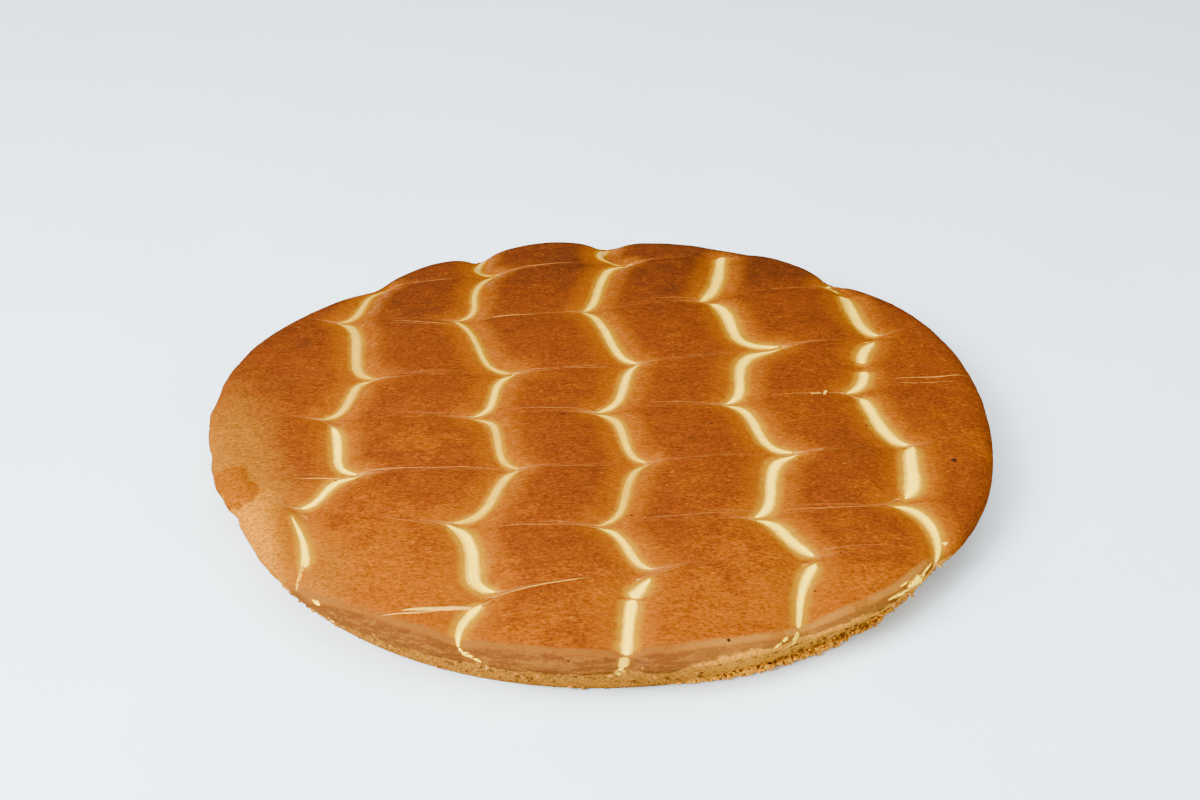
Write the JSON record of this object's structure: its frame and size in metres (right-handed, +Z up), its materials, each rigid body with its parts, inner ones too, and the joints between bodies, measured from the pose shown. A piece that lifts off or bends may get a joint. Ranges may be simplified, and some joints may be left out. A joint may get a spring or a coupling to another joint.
{
  "type": "cheesecake",
  "caption": "Whole round marbled cheesecake with a browned crust and lines of cream cheese pulled into cusps, lying on a flat base",
  "frame": {"origin": "middle of the flat base of the cake, at the middle of its round underside", "axes": "+Z up, out of the top of the cake; +Y along the lines of cream, towards the back; +X across them, to the right"},
  "size_m": [0.2788, 0.2781, 0.025],
  "materials": {
    "browned_crust": "satin",
    "cream": "satin",
    "crumb": "matte"
  },
  "bodies": {
    "root": {"cake": "browned_crust"}
  },
  "joints": []
}
